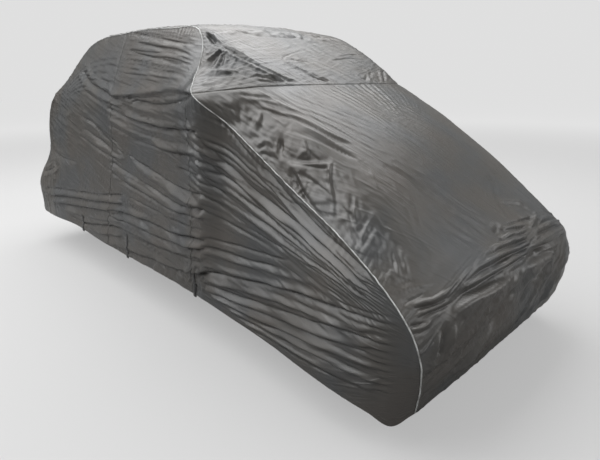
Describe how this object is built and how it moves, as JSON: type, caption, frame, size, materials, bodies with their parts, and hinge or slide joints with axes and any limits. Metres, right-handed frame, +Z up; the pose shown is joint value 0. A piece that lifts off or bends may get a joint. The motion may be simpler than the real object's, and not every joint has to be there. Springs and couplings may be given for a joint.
{
  "type": "utility terrain vehicle cover",
  "caption": "Fitted, hem-length cloth cover for a long utility terrain vehicle, hollow and open below, with light piping in its side seams and webbing straps on its hem.",
  "frame": {"origin": "point just under the middle of the roof cloth, where what is covered holds the cover up", "axes": "+Y towards the rear, -Y towards the front, +X towards the cover's left-hand side, +Z up"},
  "size_m": [1.8346, 4.53, 1.7582],
  "materials": {
    "cloth": "coated polyester, satin sheen, charcoal",
    "piping": "light grey reflective cord",
    "webbing": "black woven webbing"
  },
  "bodies": {
    "root": {"hood_panel": "cloth", "roof_panel": "cloth", "rear_panel": "cloth", "right_front_side": "cloth", "right_middle_side": "cloth", "right_rear_side": "cloth", "left_front_side": "cloth", "left_middle_side": "cloth", "left_rear_side": "cloth", "right_piping": "piping", "left_piping": "piping", "right_strap_front": "webbing", "right_strap_middle": "webbing", "right_strap_rear": "webbing", "left_strap_front": "webbing", "left_strap_middle": "webbing", "left_strap_rear": "webbing"}
  },
  "joints": []
}
